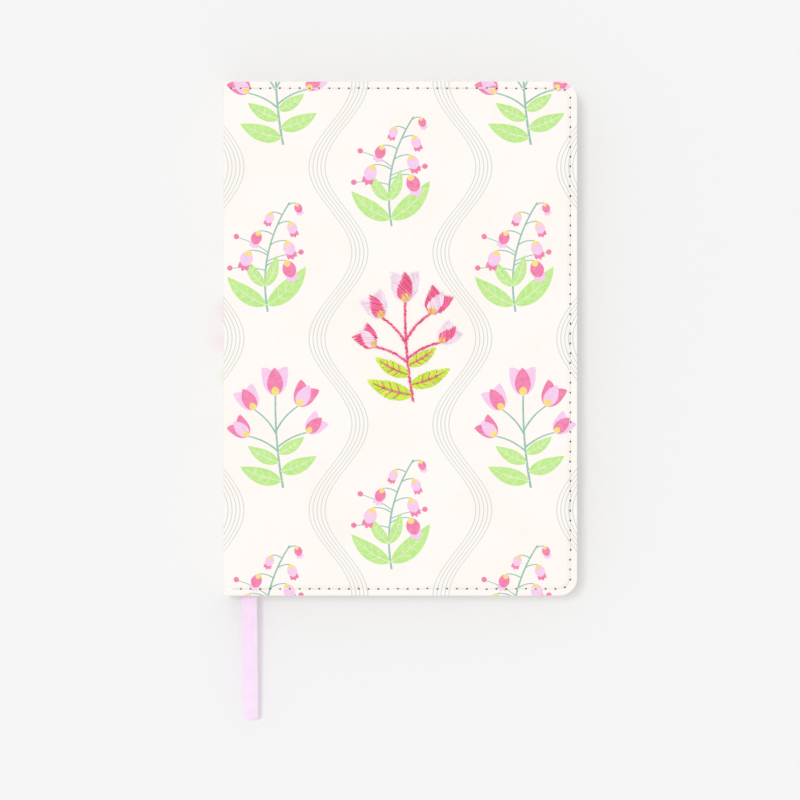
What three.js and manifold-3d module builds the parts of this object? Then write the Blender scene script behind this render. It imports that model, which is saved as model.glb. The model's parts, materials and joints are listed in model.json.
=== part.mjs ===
// A sewn notebook with a soft stitched cover, a ribbon marker and twelve sections of pages.
// Millimetres. +X runs from the spine to the fore edge, +Y to the head, +Z out of the front cover.
// The origin is the middle of the face that the notebook lies on.
import * as THREE from 'three';
import { mergeVertices } from 'three/addons/utils/BufferGeometryUtils.js';
import Module from 'manifold-3d';

const wasm = await Module();
wasm.setup();

// Driving dimensions of the cover
const headOverhang = 3; // the cover past the pages at head and tail
const foreOverhang = 3.4; // the cover past the pages at the fore edge
const coverCornerRadius = 7.5;
const skinThickness = 0.8;
const boardThickness = 1.1;
const liningThickness = 0.4;
const stitchInset = 2.9; // from the cover's edge to its row of stitches
const shoulderGap = 0.3; // from the stitches to the foot of the shoulder
const shoulderWidth = 1.3; // the slope from the sewn edge up to the boarded panel
const pinchDepth = 0.35; // how far the stitches press the edge below the panel
const edgeRound = 0.3;
const liningRoundShare = 1 / 3; // of the lining's thickness, rounded off along its edges
const hingeStrip = 7; // soft strip without board beside the spine

// Driving dimensions of the spine strip
const spineSkinThickness = 0.7;
const spineBoardThickness = 0.6;
const spineLiningThickness = 0.3;
const spineBoardInset = 1.2; // from the folds to the spine's stiffener

// Driving dimensions of the pages
const pageWidth = 143;
const pageHeight = 210;
const pageCornerRadius = 6;
const sectionCount = 12;
const sectionThickness = 1; // eight leaves of 100 g paper
const leafThickness = 0.15;
const mullThickness = 0.3;
const mullMargin = 7; // from the head and the tail of the pages to the mull
const glueLine = 0.14;

// Driving dimensions of the head bands
const bandBead = 1.6;
const bandTongue = 0.3;
const bandTongueLength = 6;

// Driving dimensions of the ribbon marker
const ribbonWidth = 6.5;
const ribbonThickness = 0.3;
const ribbonSideGap = 0.05; // above and below the ribbon between the pages
const ribbonExit = 10.4; // from the spine's outer face to the ribbon's middle at the tail edge
const ribbonTail = 52.8; // past the cover's tail edge, as seen from above
const ribbonTipHeight = 5.5; // the tip's middle above the face that the notebook lies on
const ribbonLeanWidth = 0.5; // how far the tip lies nearer to the fore edge than the exit
const ribbonHeadInset = 1; // from the head of the pages to the glued end

// Clearances
const layerGap = 0.02; // air between sheets that lie on each other
const boardClearance = 0.2; // around a board in its pocket
const cutOverrun = 1; // how far a cutting solid runs past what it cuts

// Sizes that follow from the driving dimensions
const coverThickness = liningThickness + boardThickness + skinThickness + 2 * layerGap;
const boardInset = stitchInset + shoulderGap + shoulderWidth;
const spineWall = spineLiningThickness + spineBoardThickness + spineSkinThickness + 2 * layerGap;
const pageLeft = spineWall + layerGap + mullThickness + glueLine;
const coverWidth = pageLeft + pageWidth + foreOverhang;
const coverHeight = pageHeight + 2 * headOverhang;
const sectionPitch = sectionThickness + layerGap;
const rearSectionCount = sectionCount / 2;
const ribbonLean = Math.atan(ribbonLeanWidth / ribbonTail);
const backPastedownBase = coverThickness + layerGap;
const backFlyleafBase = backPastedownBase + leafThickness + layerGap;
const sectionsBase = backFlyleafBase + leafThickness + layerGap;
const ribbonBase = sectionsBase + rearSectionCount * sectionPitch - layerGap + ribbonSideGap;
const frontSectionsBase = ribbonBase + ribbonThickness + ribbonSideGap;
const frontFlyleafBase = frontSectionsBase + (sectionCount - rearSectionCount) * sectionPitch;
const frontPastedownBase = frontFlyleafBase + leafThickness + layerGap;
const frontCoverBase = frontPastedownBase + leafThickness + layerGap;
const spineHeight = frontCoverBase - coverThickness - 2 * layerGap;
const blockThickness = frontFlyleafBase - layerGap - sectionsBase;

// Curve steps
const cornerSteps = 8;
const roundSteps = 3;
const ribbonSteps = 16;

// Booleans: a closed geometry becomes a solid, and a solid becomes a geometry again
function toSolid(geometry) {
  const bare = geometry.clone();
  bare.deleteAttribute('normal');
  bare.deleteAttribute('uv');
  const merged = mergeVertices(bare);
  return new wasm.Manifold(new wasm.Mesh({
    numProp: 3,
    vertProperties: new Float32Array(merged.attributes.position.array),
    triVerts: new Uint32Array(merged.index.array),
  }));
}

function toGeometry(solid) {
  const mesh = solid.getMesh();
  const geometry = new THREE.BufferGeometry();
  geometry.setAttribute('position', new THREE.BufferAttribute(mesh.vertProperties, mesh.numProp));
  geometry.setIndex(new THREE.BufferAttribute(mesh.triVerts, 1));
  geometry.computeVertexNormals();
  return geometry;
}

// A panel's outline: square corners at the spine, and round ones at the fore edge where a radius is given
function panelOutline(left, right, height, cornerRadius) {
  const half = height / 2;
  const radius = Math.max(cornerRadius, 0);
  const shape = new THREE.Shape();
  shape.moveTo(left, -half);
  if (radius === 0) {
    shape.lineTo(right, -half);
    shape.lineTo(right, half);
  } else {
    shape.lineTo(right - radius, -half);
    shape.absarc(right - radius, radius - half, radius, -Math.PI / 2, 0);
    shape.lineTo(right, half - radius);
    shape.absarc(right - radius, half - radius, radius, 0, Math.PI / 2);
  }
  shape.lineTo(left, half);
  shape.closePath();
  return shape;
}

// A flat plate from z = base upwards, its edges rounded by slopeWidth across and slopeHeight down
function plate(outline, base, thickness, slopeWidth = 0, slopeHeight = slopeWidth) {
  const geometry = new THREE.ExtrudeGeometry(outline, {
    depth: thickness - 2 * slopeHeight,
    steps: 1,
    curveSegments: cornerSteps,
    bevelEnabled: slopeWidth > 0,
    bevelThickness: slopeHeight,
    bevelSize: slopeWidth,
    bevelOffset: -slopeWidth,
    bevelSegments: roundSteps,
  });
  geometry.translate(0, 0, base + slopeHeight);
  return geometry;
}

// The leatherette of a panel: a sewn edge, a raised middle and a pocket for the board beneath it
function sewnSkin(panel) {
  const { width, cornerRadius, lining, board, skin } = panel;
  const base = lining + layerGap;
  const top = base + board + layerGap + skin;
  const outline = panelOutline(0, width, coverHeight, cornerRadius);
  const edge = toSolid(plate(outline, base, top - pinchDepth - base, edgeRound));
  const rise = stitchInset + shoulderGap;
  const raisedRight = cornerRadius > 0 ? width - rise : width;
  const raised = panelOutline(0, raisedRight, coverHeight - 2 * rise, cornerRadius - rise);
  const middle = toSolid(plate(raised, base, top - base, shoulderWidth, pinchDepth));
  const pocket = boardOutline(panel, boardClearance);
  const hollow = toSolid(plate(pocket, base - cutOverrun, cutOverrun + board + layerGap));
  return toGeometry(edge.add(middle).subtract(hollow));
}

// A board's outline, or with a clearance its pocket's
function boardOutline(panel, clearance = 0) {
  const { boardLeft, boardRight, cornerRadius } = panel;
  const radius = cornerRadius - boardInset + clearance;
  const height = coverHeight - 2 * boardInset + 2 * clearance;
  return panelOutline(boardLeft - clearance, boardRight + clearance, height, radius);
}

function sewnLining(panel) {
  const outline = panelOutline(0, panel.width, coverHeight, panel.cornerRadius);
  return plate(outline, 0, panel.lining, panel.lining * liningRoundShare);
}

function stiffBoard(panel) {
  return plate(boardOutline(panel), panel.lining + layerGap, panel.board);
}

// A single leaf with the pages' outline
function leaf(base) {
  const outline = panelOutline(pageLeft, pageLeft + pageWidth, pageHeight, pageCornerRadius);
  return plate(outline, base, leafThickness);
}

// A section of folded leaves: the pages' outline seen from above, with the fold's round back
function section(base) {
  const right = pageLeft + pageWidth;
  const outline = panelOutline(pageLeft, right, pageHeight, pageCornerRadius);
  const radius = sectionThickness / 2;
  const profile = new THREE.Shape();
  profile.moveTo(right + cutOverrun, base);
  profile.lineTo(right + cutOverrun, base + sectionThickness);
  profile.lineTo(pageLeft + radius, base + sectionThickness);
  profile.absarc(pageLeft + radius, base + radius, radius, Math.PI / 2, 1.5 * Math.PI);
  profile.closePath();
  const length = pageHeight + 2 * cutOverrun;
  const folded = new THREE.ExtrudeGeometry(profile, {
    depth: length,
    steps: 1,
    curveSegments: cornerSteps,
    bevelEnabled: false,
  });
  folded.rotateX(Math.PI / 2);
  folded.translate(0, length / 2, 0);
  const sheets = plate(outline, base - cutOverrun, sectionThickness + 2 * cutOverrun);
  return toGeometry(toSolid(sheets).intersect(toSolid(folded)));
}

// The gauze glued down the folds
function mull() {
  const left = spineWall + layerGap;
  const outline = panelOutline(left, left + mullThickness, pageHeight - 2 * mullMargin, 0);
  return plate(outline, sectionsBase, blockThickness);
}

// A head band: a round bead on the end of the folds, and a tongue glued down their backs
function endBand() {
  const tongueLeft = spineWall + layerGap;
  const radius = bandBead / 2;
  const beadX = tongueLeft + radius;
  const beadY = pageHeight / 2 + layerGap + radius;
  const tongueRight = tongueLeft + bandTongue;
  const tongueMeets = Math.PI + Math.acos((beadX - tongueRight) / radius);
  const shape = new THREE.Shape();
  shape.moveTo(tongueLeft, pageHeight / 2 - bandTongueLength);
  shape.lineTo(tongueRight, pageHeight / 2 - bandTongueLength);
  shape.absarc(beadX, beadY, radius, tongueMeets, 3 * Math.PI, false);
  shape.closePath();
  return plate(shape, sectionsBase, blockThickness);
}

// The ribbon seen from its side: flat between the pages, then drooping by its own weight past them
function ribbonProfile() {
  const middle = ribbonThickness / 2;
  const startHeight = ribbonBase + middle;
  const insideLength = pageHeight - ribbonHeadInset;
  const outsideLength = headOverhang + ribbonTail;
  const droop = new THREE.QuadraticBezierCurve(
    new THREE.Vector2(insideLength, startHeight),
    new THREE.Vector2(insideLength + outsideLength / 2, startHeight),
    new THREE.Vector2(insideLength + outsideLength, ribbonTipHeight),
  );
  const upper = [new THREE.Vector2(0, startHeight + middle)];
  const lower = [new THREE.Vector2(0, startHeight - middle)];
  for (let step = 0; step <= ribbonSteps; step += 1) {
    const at = step / ribbonSteps;
    const point = droop.getPoint(at);
    const along = droop.getTangent(at);
    const across = new THREE.Vector2(-along.y, along.x).multiplyScalar(middle);
    upper.push(point.clone().add(across));
    lower.push(point.clone().sub(across));
  }
  return new THREE.Shape([...lower, ...upper.reverse()]);
}

function ribbon() {
  const geometry = new THREE.ExtrudeGeometry(ribbonProfile(), {
    depth: ribbonWidth,
    steps: 1,
    bevelEnabled: false,
  });
  geometry.translate(0, 0, -ribbonWidth / 2);
  geometry.rotateX(Math.PI / 2);
  geometry.rotateZ(-Math.PI / 2);
  geometry.translate(0, pageHeight / 2 - ribbonHeadInset + coverHeight / 2, 0);
  return geometry;
}

// Materials: a colour, a roughness and no metal
const finishes = {
  leatherette: [0xfcf7f0, 0.55],
  liningCloth: [0xf7f1e8, 0.7],
  greyBoard: [0xb9b2a6, 0.9],
  endpaper: [0xfbf3f4, 0.85],
  paper: [0xfffdf6, 0.9],
  gauze: [0xece6da, 0.95],
  bandCotton: [0xf6c3e2, 0.8],
  satin: [0xfbdcf8, 0.4],
};

function piece(name, geometry, finish) {
  const [color, roughness] = finishes[finish];
  const material = new THREE.MeshStandardMaterial({ color, roughness, metalness: 0 });
  const mesh = new THREE.Mesh(geometry, material);
  mesh.name = name;
  return mesh;
}

// One stitched cover, inner face at z = 0 and outer face up
const coverPanel = {
  width: coverWidth,
  cornerRadius: coverCornerRadius,
  lining: liningThickness,
  board: boardThickness,
  skin: skinThickness,
  boardLeft: hingeStrip,
  boardRight: coverWidth - boardInset,
};

function stitchedCover(side) {
  const cover = new THREE.Group();
  cover.add(piece(`${side}_cover_skin`, sewnSkin(coverPanel), 'leatherette'));
  cover.add(piece(`${side}_cover_board`, stiffBoard(coverPanel), 'greyBoard'));
  cover.add(piece(`${side}_cover_lining`, sewnLining(coverPanel), 'liningCloth'));
  return cover;
}

function frontCover() {
  const cover = stitchedCover('front');
  cover.position.z = frontCoverBase;
  return cover;
}

function backCover() {
  const cover = stitchedCover('back');
  cover.rotation.x = Math.PI;
  cover.position.z = coverThickness;
  return cover;
}

// The strip between the covers, turned to stand on its edge with its outer face at x = 0
const spinePanel = {
  width: spineHeight,
  cornerRadius: 0,
  lining: spineLiningThickness,
  board: spineBoardThickness,
  skin: spineSkinThickness,
  boardLeft: spineBoardInset,
  boardRight: spineHeight - spineBoardInset,
};

function spine() {
  const strip = new THREE.Group();
  strip.add(piece('spine_skin', sewnSkin(spinePanel), 'leatherette'));
  strip.add(piece('spine_board', stiffBoard(spinePanel), 'greyBoard'));
  strip.add(piece('spine_lining', sewnLining(spinePanel), 'liningCloth'));
  strip.rotation.y = -Math.PI / 2;
  strip.position.set(spineWall, 0, coverThickness + layerGap);
  return strip;
}

function endpapers() {
  const sheets = new THREE.Group();
  sheets.add(piece('back_pastedown', leaf(backPastedownBase), 'endpaper'));
  sheets.add(piece('back_flyleaf', leaf(backFlyleafBase), 'endpaper'));
  sheets.add(piece('front_flyleaf', leaf(frontFlyleafBase), 'endpaper'));
  sheets.add(piece('front_pastedown', leaf(frontPastedownBase), 'endpaper'));
  return sheets;
}

// Sections are counted from the front cover, so the last one lies lowest
function sections() {
  const block = new THREE.Group();
  for (let level = 0; level < sectionCount; level += 1) {
    const inFrontHalf = level >= rearSectionCount;
    const base = inFrontHalf
      ? frontSectionsBase + (level - rearSectionCount) * sectionPitch
      : sectionsBase + level * sectionPitch;
    const number = String(sectionCount - level).padStart(2, '0');
    block.add(piece(`section_${number}`, section(base), 'paper'));
  }
  return block;
}

function binding() {
  const parts = new THREE.Group();
  parts.add(piece('spine_mull', mull(), 'gauze'));
  parts.add(piece('head_band', endBand(), 'bandCotton'));
  const tail = piece('tail_band', endBand(), 'bandCotton');
  tail.rotation.x = Math.PI;
  tail.position.z = 2 * sectionsBase + blockThickness;
  parts.add(tail);
  return parts;
}

function ribbonMarker() {
  const marker = piece('ribbon_marker', ribbon(), 'satin');
  marker.rotation.z = ribbonLean;
  marker.position.set(ribbonExit, -coverHeight / 2, 0);
  return marker;
}

const notebook = new THREE.Group();
notebook.add(backCover(), spine(), endpapers(), sections(), binding(), ribbonMarker(), frontCover());
notebook.position.x = -coverWidth / 2;

export default notebook;
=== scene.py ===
import json
import math

import bmesh
import bpy
import numpy as np
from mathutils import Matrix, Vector


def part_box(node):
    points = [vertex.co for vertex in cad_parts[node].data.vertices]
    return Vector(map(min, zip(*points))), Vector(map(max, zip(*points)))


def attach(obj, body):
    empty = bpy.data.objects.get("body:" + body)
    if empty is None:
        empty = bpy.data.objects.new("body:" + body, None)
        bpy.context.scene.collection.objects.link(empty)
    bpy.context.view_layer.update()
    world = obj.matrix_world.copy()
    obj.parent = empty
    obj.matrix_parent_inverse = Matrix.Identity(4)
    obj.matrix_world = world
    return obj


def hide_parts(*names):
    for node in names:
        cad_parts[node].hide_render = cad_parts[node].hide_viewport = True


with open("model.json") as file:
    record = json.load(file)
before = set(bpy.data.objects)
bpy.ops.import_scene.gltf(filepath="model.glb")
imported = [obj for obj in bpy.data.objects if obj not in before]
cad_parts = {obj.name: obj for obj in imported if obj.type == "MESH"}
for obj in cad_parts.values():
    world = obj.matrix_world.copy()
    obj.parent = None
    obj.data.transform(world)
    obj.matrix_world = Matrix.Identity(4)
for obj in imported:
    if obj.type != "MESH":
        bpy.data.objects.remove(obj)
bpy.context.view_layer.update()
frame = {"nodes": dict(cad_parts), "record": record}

MM = 0.001

# Sizes that the frame gives
skin_low, skin_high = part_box("front_cover_skin")
lining_low, lining_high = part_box("front_cover_lining")
board_low, board_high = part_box("front_cover_board")
spine_low, spine_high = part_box("spine_skin")
spine_lining_low, spine_lining_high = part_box("spine_lining")
spine_board_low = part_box("spine_board")[0]
WIDTH = skin_high.x - skin_low.x
HEIGHT = skin_high.y - skin_low.y
THICKNESS = skin_high.z
SPINE_X = skin_low.x
LINING = lining_high.z - lining_low.z
SKIN_BASE = skin_low.z - lining_low.z
SKIN_TOP = skin_high.z - lining_low.z
SPINE_WIDTH = spine_high.z - spine_low.z
SPINE_WALL = spine_lining_high.x - SPINE_X

# The sewn edge, as the frame has it
CORNER = 7.5 * MM
STITCH_INSET = 2.9 * MM
SHOULDER_FOOT = 3.2 * MM
SHOULDER_TOP = 4.5 * MM
PINCH = 0.35 * MM
POCKET_GAP = 0.2 * MM
LAYER_GAP = 0.02 * MM
POCKET_INSET = WIDTH - (board_high.x + POCKET_GAP - SPINE_X)

# Rounded edges, and the share of its radius in which a rounding turns by 45 degrees
EDGE_ROUND = 0.45 * MM
FOLD_ROUND = 0.9 * MM
SPINE_ROUND = 0.35 * MM
LINING_ROUND = 0.15 * MM
BEVEL_SHARE = 1 - math.sqrt(0.5)

# The skins' and linings' faces, and grid lines that lie close where they bend
THINNEST_SKIN = 0.2 * MM
SKIN_GRAIN = 0.03 * MM
LINING_GRAIN = 0.02 * MM
WAVE_DEPTH = 0.03 * MM
WAVE_ACROSS = 9 * MM
WAVE_ALONG = 13 * MM
SKIN_STEP = 0.8 * MM
LINING_STEP = 2 * MM
EDGE_LINES = np.array([0, 0.03, 0.1, 0.2, 0.32, 0.45, 0.7, 1.0, 1.4, 1.8, 2.1, 2.35, 2.6, 2.9, 3.2, 3.45,
                       3.7, 3.95, 4.2, 4.28, 4.32, 4.5, 4.8, 5.3]) * MM
FOLD_LINES = np.array([0, 0.03, 0.1, 0.2, 0.32, 0.45, 0.6, 0.75, 0.9, 1.3, 1.8]) * MM

# The edge's stitches and needle holes
STITCH_PITCH = 4.12 * MM
STITCH_START = 3.1 * MM
STITCH_RADIUS = 0.24 * MM
STITCH_ARCH = 0.16 * MM
HOLE_WIDTH = 0.95 * MM
DIMPLE = 0.14 * MM
DIMPLE_SPREAD = 0.55 * HOLE_WIDTH
GROOVE = 0.35 * DIMPLE
GROOVE_SPREAD = 0.45 * MM
# Short dark tubes sunk in the needle holes
HOLE_MARK_RADIUS = 0.3 * MM
HOLE_MARK_STRAY = 0.07 * MM
HOLE_MARK_LENGTHS = (0.82, 1.15)
HOLE_MARK_ARCH = 0.4

# The pages
PAGE_CORNER = 6 * MM
PAGE_LINES = np.array([0, 1, 3, 4.5, 6]) * MM
LEAVES_PER_SECTION = 8
LEAF_SHARE = 0.8
LEAF_TRIM = 0.12 * MM
LEAF_STEP = 6 * MM
SHEET_STEP = 12 * MM
FLYLEAF_WAVE = 0.015 * MM
PAGE_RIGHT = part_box("section_01")[1].x
PAGE_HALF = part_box("section_01")[1].y
CUT_EDGE = 0.3 * MM
RULE_PITCH = 7 * MM
RULE_WIDTH = 0.22 * MM
RULE_MARGIN = 14 * MM
RULE_END = 5 * MM

# The print: its repeat, its bands of lines, its layers of ink and the strips they are cut into
CELL_WIDTH = 52 * MM
CELL_HEIGHT = 72 * MM
BAND_SWING = 9 * MM
BAND_LINES = 5
LINE_SPACING = 1.67 * MM
LINE_WIDTH = 0.4 * MM
PRINT_SCALE = 0.92
INK_LIFT = 0.02 * MM
INK_STEP = 0.012 * MM
INK_TURNS = 7
CORNER_CUTS = 8
SEWN_STRIPS = np.arange(0.3, 5.1, 0.3) * MM
FOLD_STRIPS = np.arange(0.2, 1.1, 0.2) * MM
SAME_PLACE = 1e-8

# The head bands and the gauze
BEAD_RINGS = 144
BEAD_SIDES = 16
BEAD_RIB = 0.8 * MM
BEAD_RIB_SHARE = 0.12
BEAD_WIDTH = 1.6 * MM
BEAD_CAP = 0.3 * MM
TONGUE = 0.3 * MM
TONGUE_GLUE = 0.03 * MM
GAUZE_INSET = 0.06 * MM
GAUZE_RIPPLE = 0.04 * MM

# The ribbon's route, as the frame has it, and its weave
RIBBON_WIDTH = 6.5 * MM
RIBBON_THICKNESS = 0.3 * MM
RIBBON_EXIT = 10.4 * MM
RIBBON_INSIDE = 209 * MM
RIBBON_OUTSIDE = 55.8 * MM
RIBBON_TIP_HEIGHT = 5.5 * MM
RIBBON_LEAN = math.atan(0.5 / 52.8)
PAGE_TAIL_GAP = 3 * MM
RIB_START = RIBBON_INSIDE - 3 * MM
RIB_PITCH = 0.8 * MM
RIB_DEPTH = 0.065 * MM
RIB_CORE = 0.1 * MM
RIBS_END = 0.9
SELVEDGE_START = 0.86
SELVEDGE_LIFT = 0.02 * MM
TIP_BULGE = 0.9 * MM
TIP_BULGE_REACH = 5 * MM

# The needlework. A rope has a level, a width and its thread's radius
THREAD_RINGS = 8
THREAD_SIDES = 8
THREAD_PITCH = 0.42 * MM
THREAD_RADIUS = 0.23 * MM
THREAD_ARCH = 0.2 * MM
THREAD_RAGGED = 0.28 * MM
THREAD_UNEVEN = 0.06 * MM
STITCH_LEVEL = 0.1 * MM
PETAL_STEP = 0.16 * MM
SATIN_SLANT = 0.4
STEM_ROPE = (STITCH_LEVEL, 1.0 * MM, 0.27 * MM)
VEIN_ROPE = (0.24 * MM, 0.3 * MM, 0.19 * MM)
ROPE_PITCH = 0.72 * MM
ROPE_STITCH = 1.5 * MM
NEEDLEWORK_X = 2.5 * MM
NEEDLEWORK_Y = 2 * MM

# The light, as shares of what a level face receives
WORLD_LIGHT = 0.78
KEY_LIGHT = 0.22
KEY_TILT = math.radians(14)
KEY_TURN = math.radians(31)
KEY_SPREAD = math.radians(14)

# The floor lies just clear of the ink on the notebook's underside
FLOOR_GAP = 0.12 * MM
FLOOR_RADIUS = 8

# The camera, straight above the cover
CAMERA_DISTANCE = 1.5
FRAME_WIDTH = 0.3358
CAMERA_X = -0.17 * MM
CAMERA_Y = -25.8 * MM

# Light and dark tone of each thread, and its roughness. The light tone also serves as painted highlight on
# the thread's twist.
THREADS = {
    "edge_thread": ((250, 245, 238), (236, 230, 221), 0.6),
    "stitch_thread": ((74, 70, 68), (44, 42, 42), 0.7),
    "thread_rose": ((255, 112, 164), (226, 58, 112), 0.4),
    "thread_blush": ((255, 241, 251), (249, 218, 240), 0.4),
    "thread_lime": ((228, 252, 74), (186, 230, 32), 0.4),
    "thread_yellow": ((255, 226, 116), (248, 198, 76), 0.4),
}

# Light and dark tone of each ink, in the order in which they are printed
INKS = {
    "stem": ((168, 206, 190), (142, 190, 172)),
    "leaf": ((204, 242, 152), (184, 232, 134)),
    "vein": ((236, 244, 214), (222, 238, 196)),
    "blush": ((250, 212, 242), (247, 200, 236)),
    "rose": ((248, 146, 186), (240, 118, 166)),
    "yellow": ((252, 232, 140), (250, 218, 118)),
}

random = np.random.default_rng(seed=7)


# Materials

def linear(red, green, blue):
    """An sRGB colour of 0 to 255 as a linear RGBA."""
    shares = [value / 255 for value in (red, green, blue)]
    curve = [share / 12.92 if share <= 0.04045 else ((share + 0.055) / 1.055) ** 2.4 for share in shares]
    return (*curve, 1.0)


class Finish:
    """A material and the nodes that feed its shader."""

    def __init__(self, name, roughness, **settings):
        self.material = bpy.data.materials.new(name)
        self.material.use_nodes = True
        self.tree = self.material.node_tree
        self.shader = self.tree.nodes["Principled BSDF"]
        self.shader.inputs["Roughness"].default_value = roughness
        for socket, value in settings.items():
            self.shader.inputs[socket.replace("_", " ")].default_value = value

    def add(self, kind, sockets=None, **options):
        """A node with its options set, and its sockets linked or given a value."""
        node = self.tree.nodes.new(kind)
        for option, value in options.items():
            setattr(node, option, value)
        for socket, value in (sockets or {}).items():
            if isinstance(value, bpy.types.NodeSocket):
                self.tree.links.new(value, node.inputs[socket])
            else:
                node.inputs[socket].default_value = value
        return node

    def feed(self, socket, value):
        self.tree.links.new(value, self.shader.inputs[socket])

    def place(self, stretch=(1, 1, 1)):
        """The surface's own coordinates, stretched along the axes."""
        coordinates = self.add("ShaderNodeTexCoord").outputs["Object"]
        return self.add("ShaderNodeMapping", {"Vector": coordinates, "Scale": stretch}).outputs["Vector"]

    def noise(self, size, detail=3, stretch=(1, 1, 1), distortion=0.0):
        """Clouds of a given size, from 0 to 1."""
        sockets = {
            "Vector": self.place(stretch),
            "Scale": 1 / size,
            "Detail": detail,
            "Distortion": distortion,
        }
        return self.add("ShaderNodeTexNoise", sockets).outputs["Fac"]

    def stripes(self, pitch, direction):
        """Even bands across one axis, from 0 to 1 and back in each pitch."""
        sockets = {"Vector": self.place(), "Scale": math.pi / (10 * pitch)}
        options = {"wave_type": "BANDS", "bands_direction": direction, "wave_profile": "SIN"}
        return self.add("ShaderNodeTexWave", sockets, **options).outputs["Fac"]

    def calculate(self, operation, *values):
        return self.add("ShaderNodeMath", dict(enumerate(values)), operation=operation).outputs[0]

    def lines(self, place, pitch, width):
        """1 on even lines across a coordinate, 0 between them."""
        nearest = self.calculate("ABSOLUTE", self.calculate("WRAP", place, -pitch / 2, pitch / 2))
        return self.calculate("LESS_THAN", nearest, width / 2)

    def blend(self, first, second, share):
        """A mean of two values in which the first has the given share."""
        rest = self.calculate("MULTIPLY", second, 1 - share)
        return self.calculate("MULTIPLY_ADD", first, share, rest)

    def tone(self, factor, light, dark, start=0.38, end=0.62):
        """A colour that is dark until the factor's start and light from its end."""
        node = self.add("ShaderNodeValToRGB", {"Fac": factor})
        for element, position, color in zip(node.color_ramp.elements, (start, end), (dark, light)):
            element.position = position
            element.color = linear(*color)
        return node.outputs["Color"]

    def mix(self, factor, first, second):
        sockets = {"Factor": factor, 6: first, 7: second}
        return self.add("ShaderNodeMix", sockets, data_type="RGBA").outputs[2]

    def bump(self, height, depth, beneath=None):
        """Relief of a given depth, on top of the relief beneath it."""
        sockets = {"Height": height, "Distance": depth, "Strength": 1.0}
        if beneath is not None:
            sockets["Normal"] = beneath
        return self.add("ShaderNodeBump", sockets).outputs["Normal"]


def linen_grain(finish, depth):
    """Slubbed threads both ways and the fine pores between them."""
    along = finish.noise(0.42 * MM, 2, stretch=(0.12, 1, 1))
    across = finish.noise(0.42 * MM, 2, stretch=(1, 0.12, 1))
    threads = finish.calculate("MAXIMUM", along, across)
    pores = finish.noise(0.16 * MM, 2)
    finish.feed("Normal", finish.bump(pores, 0.1 * depth, finish.bump(threads, depth)))


def mottled(finish, light, dark, size):
    """Two close tones in soft patches and in fine grain."""
    patches = finish.noise(size, 4)
    grain = finish.noise(0.5 * MM, 2, stretch=(0.3, 1, 1))
    return finish.tone(finish.blend(grain, patches, 0.5), light, dark)


def band_lines(finish):
    """1 on the printed lines of the wavy bands, 0 beside them, from the skin's unrolled place."""
    place = finish.add("ShaderNodeAttribute", attribute_name="print_place").outputs["Vector"]
    parts = finish.add("ShaderNodeSeparateXYZ", {"Vector": place})
    across = finish.calculate("PINGPONG", parts.outputs["X"], CELL_WIDTH)
    turn = finish.calculate("MULTIPLY", parts.outputs["Y"], 2 * math.pi / CELL_HEIGHT)
    swing = finish.calculate("MULTIPLY_ADD", finish.calculate("COSINE", turn), BAND_SWING, CELL_WIDTH / 2)
    offset = finish.calculate("SUBTRACT", across, swing)
    half_band = BAND_LINES * LINE_SPACING / 2
    in_band = finish.calculate("LESS_THAN", finish.calculate("ABSOLUTE", offset), half_band)
    return finish.calculate("MULTIPLY", finish.lines(offset, LINE_SPACING, LINE_WIDTH), in_band)


def leatherette():
    finish = Finish("leatherette", 0.5, Specular_IOR_Level=0.25)
    base = mottled(finish, (255, 251, 247), (254, 247, 241), 22 * MM)
    line_ink = finish.mix(finish.noise(1.5 * MM), linear(206, 213, 206), linear(222, 225, 218))
    finish.feed("Base Color", finish.mix(band_lines(finish), base, line_ink))
    linen_grain(finish, SKIN_GRAIN)
    sheen = {"Value": finish.noise(3 * MM), "To Min": 0.45, "To Max": 0.6}
    finish.feed("Roughness", finish.add("ShaderNodeMapRange", sheen).outputs["Result"])
    return finish.material


def grained(name, roughness, light, dark, patch, depth):
    """Cloth, or printed colour that takes the grain of the skin beneath it."""
    finish = Finish(name, roughness, Specular_IOR_Level=0.25)
    finish.feed("Base Color", mottled(finish, light, dark, patch))
    linen_grain(finish, depth)
    return finish.material


def grey_board():
    finish = Finish("grey_board", 0.9)
    fibres = finish.noise(0.9 * MM, 6, distortion=1.5)
    finish.feed("Base Color", finish.tone(fibres, (205, 200, 190), (176, 170, 160), 0.3, 0.7))
    finish.feed("Normal", finish.bump(fibres, 0.05 * MM))
    return finish.material


def paper_fibres(finish, light, dark):
    """Fine fibres pressed into a sheet."""
    fibres = finish.noise(0.7 * MM, 5, distortion=1.0)
    finish.feed("Normal", finish.bump(fibres, 0.008 * MM))
    return finish.tone(fibres, light, dark)


def endpaper():
    finish = Finish("endpaper", 0.85, Specular_IOR_Level=0.2)
    finish.feed("Base Color", paper_fibres(finish, (252, 240, 245), (249, 235, 241)))
    return finish.material


def cut_edge(finish, across, along):
    """1 within a hair of the pages' cut edges, 0 on their faces."""
    past_x = finish.calculate("MAXIMUM", finish.calculate("SUBTRACT", across, PAGE_RIGHT - PAGE_CORNER), 0.0)
    past_y = finish.calculate("MAXIMUM", finish.calculate("SUBTRACT", along, PAGE_HALF - PAGE_CORNER), 0.0)
    reach = finish.calculate("MULTIPLY_ADD", past_x, past_x, finish.calculate("MULTIPLY", past_y, past_y))
    return finish.calculate("GREATER_THAN", reach, (PAGE_CORNER - CUT_EDGE) ** 2)


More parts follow.
